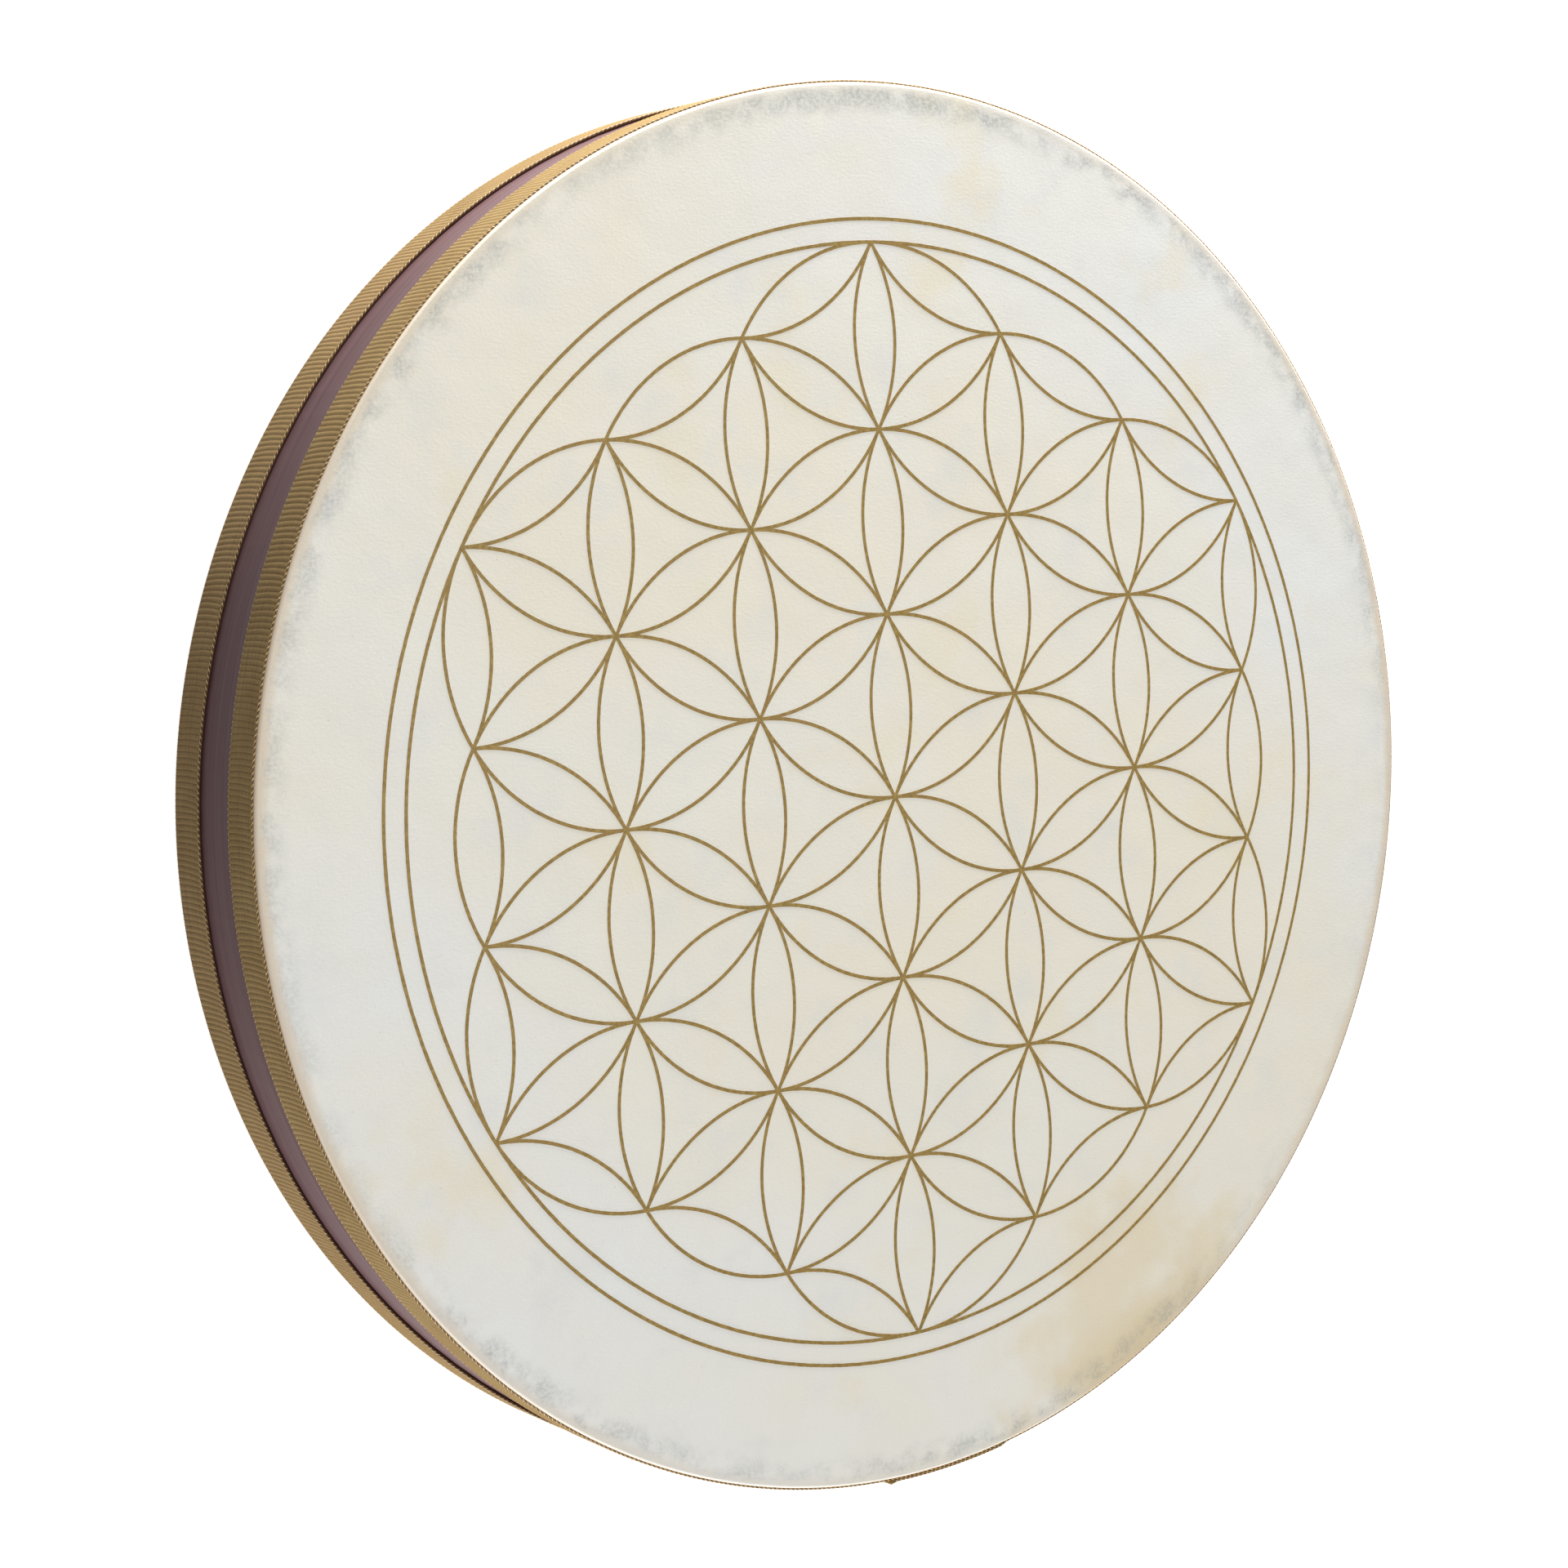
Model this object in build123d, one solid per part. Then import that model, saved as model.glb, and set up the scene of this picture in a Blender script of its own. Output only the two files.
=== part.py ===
from build123d import *
import math
import os
import random

# A double-headed frame drum of the ocean drum kind: two hides on one shallow hoop, a woven braid
# round each rim, a line rosette printed on the upper hide and loose steel balls sealed inside.
# Z is the drum's axis. The plain head rests on Z = 0 and the printed head faces +Z, with the
# rosette's upper point towards +Y.

# Driving dimensions, in millimetres and degrees.
HEAD_R = 250.0  # outside of the hide skirts
DEPTH = 60.0  # over both heads
HIDE_T = 0.7
FOLD_R = 1.1  # outside radius of the hide where it folds over the rim
SKIRT = 17.9  # how far down the hoop a hide reaches, from its own outer face

PLY_T = 2.3  # outer and inner plies of the bent hoop
CORE_T = 2.4
SEAM_W = 0.12  # hairline left where the two ends of a ply meet
OUTER_SEAM = 312.0  # the seams are staggered round the hoop
CORE_SEAM = 72.0
INNER_SEAM = 192.0
SHELL_R = HEAD_R - HIDE_T
CORE_R = SHELL_R - PLY_T
INNER_R = CORE_R - CORE_T
CHAMBER_R = INNER_R - PLY_T
SHELL_H = DEPTH - 2 * HIDE_T
RIM_ROUND = FOLD_R - HIDE_T

BRAID_T = 0.8
BRAID_W = 17.6
BRAID_EDGE = 0.9  # from the outer face of the head to the near edge of its braid
LAP_START = 278.0  # where the braid's buried end lies
LAP_TAIL = 11.5  # how far the tail laps back over it
LAP_RAMP = 1.0  # arc in which the tail climbs over the buried end
LAP_GAP = 0.05
TAIL_FLARE = 0.8  # arc in which the tail's end lifts clear
TAIL_LIFT = 0.8
REAR_LAP_TURN = -10.0  # the rear braid's lap beside the front one's

STAPLE_COUNT = 28
STAPLE_START = 3.0  # where the first staple of the row lies
STAPLE_WIDTH = 10.0
STAPLE_WIRE = 0.45
STAPLE_BAND = 1.2  # width of the flat wire, along the drum's axis
STAPLE_LEG = 4.5
STAPLE_SINK = 0.1  # depth of the crown's back below the hide's surface
STAPLE_DOWN = 9.7  # from the head's outer face to the row of staples

PETAL_R = 65.4  # radius of every petal arc, and the pitch of the rosette's points
ROSETTE_STEPS = 3  # pitches from the middle of the rosette to a corner
LINE_W = 1.25
INK_T = 0.08
FRAME_RING_R = 204.3
PRINT_AT = (-1.0, -1.5)  # the print sits a little off the drum's centre

BALL_R = 2.5
BALL_GAP = 0.1  # to the hide under the balls, and between neighbours
RIM_GAP = 0.4
BALL_SEED = 11
# Rings in which the balls roll: inner and outer radius, and how many balls are in each.
BALL_ZONES = {
    "hub_balls": (0.0, 92.0, 42),
    "inner_balls": (94.0, 150.0, 58),
    "outer_balls": (152.0, 204.0, 74),
    "rim_balls": (206.0, CHAMBER_R - RIM_GAP, 86),
}


def polar(radius, angle):
    """The point at this radius and angle (degrees) in the XY plane."""
    return Vector(radius * math.cos(math.radians(angle)), radius * math.sin(math.radians(angle)))


def flipped(shape):
    """The same piece on the other rim of the drum."""
    return mirror(shape, Plane.XY.offset(DEPTH / 2))


def ply(outer_radius, thickness, seam_angle, rounding=0.0):
    """One bent ply of the hoop, open at the butt seam where its ends meet."""
    section = Pos(outer_radius - thickness / 2, DEPTH / 2) * Rectangle(thickness, SHELL_H)
    if rounding:
        section = fillet(section.vertices().group_by(Axis.X)[-1], rounding)
    seam = math.degrees(SEAM_W / outer_radius)
    ring = revolve(Plane.XZ * section, Axis.Z, 360 - seam)
    return Rot(0, 0, seam_angle) * ring


def staple():
    """A flat wire staple driven inwards along -X, its crown's back at X = 0."""
    crown = Pos(-STAPLE_WIRE / 2, 0, 0) * Box(STAPLE_WIRE, STAPLE_WIDTH, STAPLE_BAND)
    leg = Box(STAPLE_LEG, STAPLE_WIRE, STAPLE_BAND)
    offset = (STAPLE_WIDTH - STAPLE_WIRE) / 2
    legs = [Pos(-STAPLE_LEG / 2, side * offset, 0) * leg for side in (-1, 1)]
    return crown + legs


def front_staples():
    """The row of staples that holds the printed hide's skirt."""
    spots = PolarLocations(HEAD_R - STAPLE_SINK, STAPLE_COUNT, start_angle=STAPLE_START)
    return [Pos(0, 0, DEPTH - STAPLE_DOWN) * spot * staple() for spot in spots]


def front_head(staples):
    """The upper hide: a flat head, a fold over the rim and a skirt down the hoop."""
    top, side = DEPTH, HEAD_R
    under, inside = DEPTH - HIDE_T, HEAD_R - HIDE_T
    flat = HEAD_R - FOLD_R
    bend = FOLD_R * math.sqrt(0.5)
    tight = RIM_ROUND * math.sqrt(0.5)
    hem = DEPTH - SKIRT
    centre = (flat, 0, DEPTH - FOLD_R)
    profile = [
        Line((0, 0, top), (flat, 0, top)),
        ThreePointArc((flat, 0, top), (centre[0] + bend, 0, centre[2] + bend), (side, 0, centre[2])),
        Line((side, 0, centre[2]), (side, 0, hem)),
        Line((side, 0, hem), (inside, 0, hem)),
        Line((inside, 0, hem), (inside, 0, centre[2])),
        ThreePointArc((inside, 0, centre[2]), (centre[0] + tight, 0, centre[2] + tight), (flat, 0, under)),
        Line((flat, 0, under), (0, 0, under)),
        Line((0, 0, under), (0, 0, top)),
    ]
    return revolve(Face(Wire(profile)), Axis.Z) - staples


def glide(start, end):
    """A smooth change of radius along the hoop; start and end are (radius, angle), angle falling."""
    headings = [polar(1, angle - 90) for _, angle in (start, end)]
    return Spline(polar(*start), polar(*end), tangents=headings)


def sweep_arc(radius, start, end):
    """An arc round the drum's axis."""
    return ThreePointArc(polar(radius, start), polar(radius, (start + end) / 2), polar(radius, end))


def strip_side(radius):
    """One face of the wound braid, from its buried end to the end of its tail."""
    over = radius + BRAID_T + LAP_GAP
    half = LAP_START - 180
    home = LAP_START - 360
    tail = home - LAP_TAIL
    return [
        sweep_arc(radius, LAP_START, half),
        sweep_arc(radius, half, home + LAP_RAMP),
        glide((radius, home + LAP_RAMP), (over, home)),
        sweep_arc(over, home, tail + TAIL_FLARE),
        glide((over, tail + TAIL_FLARE), (over + TAIL_LIFT, tail)),
    ]


def front_braid():
    """The woven braid: one strip wound once round the rim, its tail lapped over its own start."""
    inner, outer = strip_side(HEAD_R), strip_side(HEAD_R + BRAID_T)
    ends = [Line(inner[-1] @ 1, outer[-1] @ 1), Line(inner[0] @ 0, outer[0] @ 0)]
    section = Face(Wire(inner + outer + ends))
    base = DEPTH - BRAID_EDGE - BRAID_W
    return Pos(0, 0, base) * extrude(section, amount=BRAID_W, dir=(0, 0, 1))


def arc_about(centre, start, end):
    """The shorter arc round centre from start to end."""
    radius = (start - centre).length
    middle = centre + ((start - centre) + (end - centre)).normalized() * radius
    return ThreePointArc(start, middle, end)


def rosette_points():
    """The triangular grid of points inside a hexagon, by their grid steps."""
    steps = range(-ROSETTE_STEPS, ROSETTE_STEPS + 1)
    return [(i, j) for i in steps for j in steps if abs(i + j) <= ROSETTE_STEPS]


def place(point):
    """Where a grid point lies; the grid's second axis points along +Y."""
    i, j = point
    return Vector(PETAL_R * i * math.sqrt(0.75), PETAL_R * (j + i / 2))


def petal_cell(start, end):
    """The bare hide inside the petal between two neighbouring points."""
    middle, along = (start + end) / 2, (end - start).normalized()
    across = along.rotate(Axis.Z, 90) * (PETAL_R * math.sqrt(0.75))
    reach = math.sqrt((PETAL_R - LINE_W / 2) ** 2 - 0.75 * PETAL_R**2)
    tips = middle - along * reach, middle + along * reach
    return Wire([arc_about(middle + across, *tips), arc_about(middle - across, *tips)])


def triangle_cell(corners):
    """The bare hide between the three petals round a grid triangle."""
    centre = (corners[0] + corners[1] + corners[2]) / 3
    reach = math.sqrt((PETAL_R + LINE_W / 2) ** 2 - PETAL_R**2)
    tips = [corner + (centre - corner).normalized() * reach for corner in corners]
    arcs = []
    for k in range(3):
        opposite = corners[k - 2] + corners[k - 1] - corners[k]
        arcs.append(arc_about(opposite, tips[k - 2], tips[k - 1]))
    return Wire(arcs)


def segment_cell(turn):
    """The bare hide between the inner ring and the outer petals of one side of the hexagon."""
    ring_r, arc_r = ROSETTE_STEPS * PETAL_R - LINE_W / 2, PETAL_R + LINE_W / 2
    far = (ROSETTE_STEPS - 1) * PETAL_R
    along = (ring_r**2 - arc_r**2 + far**2) / (2 * far)
    off = math.sqrt(ring_r**2 - along**2)
    centres = [place((k, ROSETTE_STEPS - 1 - k)) for k in range(ROSETTE_STEPS)]
    outward = polar(1, 60)
    rise = math.sqrt(arc_r**2 - PETAL_R**2 / 4)
    first = Vector(off, along)
    last = polar(along, 30) + polar(off, 120)
    joints = [(a + b) / 2 + outward * rise for a, b in zip(centres, centres[1:])]
    stops = [first] + joints + [last]
    arcs = [arc_about(centre, a, b) for centre, a, b in zip(centres, stops, stops[1:])]
    return Rot(0, 0, turn) * Wire(arcs + [arc_about(Vector(0, 0), first, last)])


def rosette_print():
    """The printed line rosette and its two rings, as a thin layer of ink."""
    points = rosette_points()
    cells = [segment_cell(60 * k) for k in range(6)]
    for i, j in points:
        for step in ((1, 0), (0, 1), (-1, 1)):
            neighbour = (i + step[0], j + step[1])
            if neighbour in points:
                cells.append(petal_cell(place((i, j)), place(neighbour)))
        for pair in (((1, 0), (0, 1)), ((0, 1), (-1, 1))):
            corners = [(i, j)] + [(i + di, j + dj) for di, dj in pair]
            if all(corner in points for corner in corners):
                cells.append(triangle_cell([place(corner) for corner in corners]))
    rim = Wire(Edge.make_circle(ROSETTE_STEPS * PETAL_R + LINE_W / 2))
    lines = extrude(Face(rim, cells), amount=INK_T, dir=(0, 0, 1))
    ring = Circle(FRAME_RING_R + LINE_W / 2) - Circle(FRAME_RING_R - LINE_W / 2)
    frame_ring = extrude(ring, amount=INK_T, dir=(0, 0, 1))
    where = Pos(*PRINT_AT, DEPTH)
    return [where * lines, where * frame_ring]


def scattered(inner, outer, count, chance):
    """Places for the balls of one ring, no two closer than they can lie."""
    low = inner + BALL_R if inner else 0
    high = outer - BALL_R
    spots = []
    while len(spots) < count:
        radius = math.sqrt(chance.uniform(low**2, high**2))
        spot = polar(radius, chance.uniform(0, 360))
        if all((spot - other).length > 2 * BALL_R + BALL_GAP for other in spots):
            spots.append(spot)
    return spots


def balls(zone, chance):
    """The loose balls of one ring, resting on the lower hide."""
    height = HIDE_T + BALL_GAP + BALL_R
    return [Pos(spot.X, spot.Y, height) * Sphere(BALL_R) for spot in scattered(*zone, chance)]


def save(name, shapes):
    """Write one sub-part; a list of shapes becomes one group of separate solids."""
    export_step(Compound(children=shapes) if isinstance(shapes, list) else shapes, f"parts/{name}.step")


def build():
    os.makedirs("parts", exist_ok=True)
    staples = front_staples()
    rear_staples = [flipped(item) for item in staples]
    pinned = staples + rear_staples
    head = front_head(staples)
    braid = front_braid()
    save("outer_ply", ply(SHELL_R, PLY_T, OUTER_SEAM, RIM_ROUND) - pinned)
    save("core_ply", ply(CORE_R, CORE_T, CORE_SEAM) - pinned)
    save("inner_ply", ply(INNER_R, PLY_T, INNER_SEAM))
    save("front_head", head)
    save("rear_head", flipped(head))
    save("front_staples", staples)
    save("rear_staples", rear_staples)
    save("front_braid", braid)
    save("rear_braid", Rot(0, 0, REAR_LAP_TURN) * flipped(braid))
    save("rosette_print", rosette_print())
    chance = random.Random(BALL_SEED)
    for name, zone in BALL_ZONES.items():
        save(name, balls(zone, chance))


build()
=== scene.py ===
"""Looks of the double-headed frame drum: rawhide heads, ribbed braids, stained hoop and gold print."""
import math

import bpy
import numpy as np
from mathutils import Matrix, Vector


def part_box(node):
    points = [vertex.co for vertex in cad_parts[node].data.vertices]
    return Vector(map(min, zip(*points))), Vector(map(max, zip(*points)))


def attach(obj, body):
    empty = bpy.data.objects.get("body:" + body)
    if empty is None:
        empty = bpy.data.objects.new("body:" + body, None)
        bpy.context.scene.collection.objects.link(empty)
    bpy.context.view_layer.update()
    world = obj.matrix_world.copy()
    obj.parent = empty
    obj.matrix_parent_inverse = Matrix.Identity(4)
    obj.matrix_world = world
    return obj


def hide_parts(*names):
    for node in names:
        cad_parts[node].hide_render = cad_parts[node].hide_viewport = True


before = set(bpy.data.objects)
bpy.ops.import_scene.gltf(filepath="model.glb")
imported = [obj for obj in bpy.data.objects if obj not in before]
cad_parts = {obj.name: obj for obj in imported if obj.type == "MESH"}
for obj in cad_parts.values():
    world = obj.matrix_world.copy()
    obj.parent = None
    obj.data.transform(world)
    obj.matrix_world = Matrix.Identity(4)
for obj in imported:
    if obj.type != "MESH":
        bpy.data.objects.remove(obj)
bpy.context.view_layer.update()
MM = 0.001

# Sizes read from the frame.
head_low, head_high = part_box("front_head")
print_low, print_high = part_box("rosette_print")
staple_low, staple_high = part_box("front_staples")
HEAD_R = (head_high.x - head_low.x) / 2
DEPTH = head_high.z
HEM_Z = head_low.z
HIDE_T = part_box("outer_ply")[0].z
STAPLE_DOWN = DEPTH - (staple_low.z + staple_high.z) / 2
PRINT_AT = np.array(((print_low + print_high) / 2).xy)

# Sizes that the frame's boxes do not give, in metres and degrees. These repeat the CAD's own figures.
FOLD_R = 1.1 * MM
BRAID_T = 0.8 * MM
BRAID_W = 17.6 * MM
BRAID_EDGE = 0.9 * MM  # from the head's outer face to the near edge of its braid
LAP_START = 278.0  # where the braid's buried end lies
LAP_TAIL = 11.5  # how far the tail laps back over it
LAP_RAMP = 1.0  # arc in which the tail climbs over the buried end
LAP_GAP = 0.05 * MM
TAIL_FLARE = 0.8  # arc in which the tail's end lifts clear
TAIL_LIFT = 0.8 * MM
REAR_LAP_TURN = -10.0  # the rear braid's lap beside the front one's
STAPLE_COUNT = 28
STAPLE_START = 3.0  # where the first staple of the row lies
PETAL_R = 65.4 * MM  # radius of every petal arc, and the pitch of the rosette's points
ROSETTE_STEPS = 3  # pitches from the middle of the rosette to a corner
LINE_W = 1.25 * MM
INK_T = 0.08 * MM
FRAME_RING_R = 204.3 * MM

# Detail that only this script adds.
HEAD_SEGMENTS = 720
FOLD_STEPS = 9
COARSE_RINGS = (10 * MM, 200 * MM, 20)  # from, to and how many
FINE_RINGS_FROM, FINE_RINGS = 205 * MM, 30
SIDE_STEPS = 5
PUCKER = 0.10 * MM  # how deep the hide puckers near the rim
PUCKER_IN = 22 * MM  # where the puckers begin, inwards from the rim
PUCKER_RUN = 12 * MM  # over which they reach their full depth
PUCKER_WAVES = 14
PUCKER_RATES = (7, 60)  # a wave goes up and down at least 7 and under 60 times in a turn
PUCKER_PHASE = 6.3  # about a whole turn, in radians
RIBS = 796  # in one turn of the braid
ROWS_PER_RIB = 6
RIB_H = 0.22 * MM
RIB_BOW = 0.2  # how far a rib bows along the strip, in ribs
RIB_SHARPNESS = 0.7
RIBS_PER_WAVER = 3
RIB_WAVER = 0.10
WAVER_SEED = 3
SPARE_RIBS = 30  # more than the lapped tail adds to a turn
CORE_R = 0.24 * MM  # the dark yarn along a braid's edge, its dark brown partly painted shade under the gold windings
YARN_R = 0.15 * MM  # the gold yarn wound round it
YARN_OUT = 0.22 * MM  # how far from the core its windings run
YARN_STEPS = 7  # in one winding
YARN_END = 0.15  # how far short of the strip's ends the yarns stop
EDGE_IN = 0.20 * MM  # from the strip's edge to the core of its yarn
DENT = 0.16 * MM  # how deep a staple pulls the braid in
DENT_HALF = 3.4 * MM  # half its length round the rim
DENT_ROW = 1.5 * MM  # how far it spreads across the strip
INK_WOBBLE = 0.05 * MM  # how uneven the printed edges are
ARC_STEP = math.radians(1.0)
CIRCLE_POINTS = 720

# The camera and the stage, in metres, degrees, millimetres of lens and watts.
CAMERA_AT = (-0.6527, 0.1160, 0.9365)
CAMERA_AIM = (-0.0489, 0.0078, 0.0600)
CAMERA_ROLL = -2.739
CAMERA_LENS = 70.47
SENSOR = 36.0
FLOOR_HALF = 60.0  # fills views from 15 degrees up; the lens sees past any floor below 14.3
FLOOR_GREY = (0.5, 0.5, 0.5, 1)
FLOOR_GLOW = 0.82
WORLD_GLOW = 0.27
# Each light: name, where it stands, what it faces, width and height, power.
LIGHTS = (
    ("soft_top", (0.0, 0.25, 1.9), (0, 0, 0), (1.8, 1.8), 22.5),
    ("key_side", (0.37, 1.14, 0.11), (0.05, 0.15, 0.04), (1.0, 0.18), 42),
    ("fill_side", (-0.25, -1.17, 0.11), (0, 0, 0.04), (0.8, 0.18), 13),
)


# ---------------------------------------------------------------- small tools

def linear(red, green, blue):
    """A colour given as it looks on a screen, 0 to 255, as a shader takes it."""
    parts = []
    for part in (red, green, blue):
        part /= 255
        parts.append(part / 12.92 if part <= 0.04045 else ((part + 0.055) / 1.055) ** 2.4)
    return (*parts, 1.0)


def smooth(value):
    """0 below 0, 1 above 1, and an even climb between."""
    value = np.clip(value, 0, 1)
    return value * value * (3 - 2 * value)


def mesh_piece(name, points, faces):
    """A smooth-shaded mesh piece that rides on the drum."""
    mesh = bpy.data.meshes.new(name)
    mesh.from_pydata(np.asarray(points).tolist(), [], [list(map(int, face)) for face in faces])
    mesh.validate()
    mesh.shade_smooth()
    piece = bpy.data.objects.new(name, mesh)
    bpy.context.scene.collection.objects.link(piece)
    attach(piece, "drum")
    return piece


def tube_faces(rows, columns):
    """Quads over a grid of points whose columns close on themselves, with a flat cap at each end."""
    faces = []
    for i in range(rows - 1):
        here, there = i * columns, (i + 1) * columns
        for j in range(columns):
            k = (j + 1) % columns
            faces.append((here + j, here + k, there + k, there + j))
    faces.append(tuple(range(columns))[::-1])
    faces.append(tuple((rows - 1) * columns + j for j in range(columns)))
    return faces


# ---------------------------------------------------------------- shader tools

def new_material(name, **sockets):
    """A material's tree and its main shader, with its even properties set on the shader itself."""
    material = bpy.data.materials.new(name)
    material.use_nodes = True
    tree = material.node_tree
    shader = tree.nodes["Principled BSDF"]
    for socket, value in sockets.items():
        shader.inputs[socket.replace("_", " ")].default_value = value
    return material, tree, shader


def add(tree, kind, settings=None, **sockets):
    """A shader node with its settings and sockets filled in, by value or by link."""
    node = tree.nodes.new("ShaderNode" + kind)
    for key, value in (settings or {}).items():
        setattr(node, key, value)
    for socket, value in sockets.items():
        plug(tree, node.inputs[socket.replace("_", " ")], value)
    return node


def plug(tree, socket, value):
    """Link a socket to another node's output, or set it to a plain value."""
    if isinstance(value, bpy.types.NodeSocket):
        tree.links.new(value, socket)
    else:
        socket.default_value = value


def calc(tree, operation, *values):
    """A Math node's result."""
    node = add(tree, "Math", {"operation": operation})
    for socket, value in zip(node.inputs, values):
        plug(tree, socket, value)
    return node.outputs[0]


def fade(tree, value, start, end, low=0.0, high=1.0):
    """A smooth change from low at start to high at end."""
    node = add(tree, "MapRange", {"interpolation_type": "SMOOTHSTEP"}, Value=value)
    for socket, number in zip(("From Min", "From Max", "To Min", "To Max"), (start, end, low, high)):
        node.inputs[socket].default_value = number
    return node.outputs["Result"]


def tint(tree, factor, base, other):
    """One colour laid over another by a factor."""
    node = add(tree, "Mix", {"data_type": "RGBA"})
    for index, value in ((0, factor), (6, base), (7, other)):
        plug(tree, node.inputs[index], value)
    return node.outputs[2]


def noise(tree, vector, scale, detail=2.0, roughness=0.5, distortion=0.0):
    """Cloudy noise, from 0 to 1."""
    node = add(tree, "TexNoise", None, Vector=vector, Scale=scale, Detail=detail, Roughness=roughness,
               Distortion=distortion)
    return node.outputs["Fac"]


def vector_calc(tree, operation, vector, other):
    """A Vector Math node on two vectors."""
    node = add(tree, "VectorMath", {"operation": operation})
    plug(tree, node.inputs[0], vector)
    plug(tree, node.inputs[1], other)
    return node


def scaled(tree, vector, factors):
    """A vector stretched along each axis."""
    return vector_calc(tree, "MULTIPLY", vector, factors).outputs[0]


def shifted(tree, vector, offset):
    """A vector moved by an offset."""
    return vector_calc(tree, "ADD", vector, offset).outputs[0]


def distance(tree, vector, point):
    """How far a vector lies from a point."""
    return vector_calc(tree, "DISTANCE", vector, point).outputs["Value"]


def clamped(tree, value):
    """A value held between 0 and 1."""
    return add(tree, "Clamp", None, Value=value).outputs[0]


def bump(tree, shader, height, distance, strength=1.0, under=None):
    """Fine relief on a shader, laid over any relief under it."""
    node = add(tree, "Bump", None, Height=height, Distance=distance, Strength=strength)
    if under is not None:
        tree.links.new(under, node.inputs["Normal"])
    tree.links.new(node.outputs["Normal"], shader.inputs["Normal"])
    return node.outputs["Normal"]


# ---------------------------------------------------------------- materials

def hide_material(name, shift, stain_at):
    """Pale rawhide: cloudy colour, a warm band over the hoop's edge and grey rub marks inside it."""
    material, tree, shader = new_material(name, Sheen_Weight=0.05)
    shader.inputs["Specular IOR Level"].default_value = 0.35
    here = add(tree, "TexCoord").outputs["Object"]
    parts = add(tree, "SeparateXYZ", None, Vector=here).outputs
    flat = add(tree, "CombineXYZ", None, X=parts[0], Y=parts[1]).outputs[0]
    radius = add(tree, "VectorMath", {"operation": "LENGTH"}, Vector=flat).outputs["Value"]
    heading = add(tree, "VectorMath", {"operation": "NORMALIZE"}, Vector=flat).outputs[0]
    turn = add(tree, "SeparateXYZ", None, Vector=heading).outputs
    moved = shifted(tree, here, (shift, -shift, 0.0))
    ring = add(tree, "CombineXYZ", None, X=turn[0], Y=turn[1], Z=radius).outputs[0]
    ring = shifted(tree, ring, (0.0, 0.0, shift))

    clouds = noise(tree, moved, 11.0, 3.0, 0.55)
    warmth = calc(tree, "MULTIPLY_ADD", clouds, 1.9, fade(tree, radius, 130 * MM, 210 * MM, -0.1, -0.55))
    lobes = calc(tree, "MULTIPLY", turn[0], turn[1])
    lobes = calc(tree, "MULTIPLY", lobes, fade(tree, radius, 100 * MM, 200 * MM, 0.0, -0.8))
    warmth = calc(tree, "ADD", warmth, lobes)
    colour = tint(tree, clamped(tree, warmth), HIDE_COOL, HIDE_WARM)
    patches = noise(tree, moved, 34.0, 4.0, 0.62)
    colour = tint(tree, fade(tree, patches, 0.50, 0.74, 0.0, 0.5), colour, HIDE_GREY)
    spots = noise(tree, shifted(tree, moved, (3.1, 1.7, 0.0)), 24.0, 3.0, 0.55)
    colour = tint(tree, fade(tree, spots, 0.56, 0.76, 0.0, 0.6), colour, HIDE_CREAM)

    # The stain spreads in from the rim at one side.
    near = distance(tree, scaled(tree, here, (1.0, 1.25, 0.0)), stain_at)
    ragged = calc(tree, "MULTIPLY_ADD", spots, -0.16, near)
    stain = fade(tree, calc(tree, "MULTIPLY_ADD", patches, -0.06, ragged), -0.082, -0.035, 1.0, 0.0)
    colour = tint(tree, calc(tree, "MULTIPLY", stain, 0.62), colour, HIDE_AMBER)
    deep = fade(tree, calc(tree, "MULTIPLY_ADD", patches, -0.10, near), -0.045, 0.012, 1.0, 0.0)
    deep = calc(tree, "MULTIPLY", deep, fade(tree, radius, 222 * MM, 247 * MM, 0.0, 0.45))
    colour = tint(tree, deep, colour, HIDE_TAN)

    # Warm where it is drawn over the hoop.
    mottle = noise(tree, scaled(tree, ring, (24.0, 24.0, 120.0)), 1.0, 3.0, 0.6)
    edge = calc(tree, "MULTIPLY_ADD", mottle, 4.0 * MM, radius)
    band = fade(tree, edge, HEAD_R - 4.0 * MM, HEAD_R + 1.5 * MM)
    sideways = calc(tree, "MULTIPLY", turn[0], turn[0])
    handled = calc(tree, "MULTIPLY_ADD", sideways, 0.55, 0.15)
    colour = tint(tree, calc(tree, "MULTIPLY", band, handled), colour, HIDE_PEACH)

    # Slate-grey rub marks in a ring just inside the hoop, patchy round the drum.
    blots = noise(tree, scaled(tree, ring, (26.0, 26.0, 110.0)), 1.0, 2.5, 0.5)
    wander = calc(tree, "MULTIPLY_ADD", mottle, 6.0 * MM, radius)
    inner = fade(tree, wander, HEAD_R - 10.0 * MM, HEAD_R - 2.0 * MM)
    outer = fade(tree, wander, HEAD_R - 0.5 * MM, HEAD_R + 1.8 * MM, 1.0, 0.0)
    rub = calc(tree, "MULTIPLY", calc(tree, "MULTIPLY", inner, outer), rub_by_angle(tree, turn, shift))
    rub = calc(tree, "MULTIPLY", rub, fade(tree, blots, 0.31, 0.64))
    fine = noise(tree, moved, 700.0, 3.0, 0.65)
    rub = calc(tree, "MULTIPLY", rub, fade(tree, fine, 0.36, 0.64, 0.35, 1.0))
    colour = tint(tree, calc(tree, "MULTIPLY", rub, 0.56), colour, HIDE_RUB)

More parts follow.
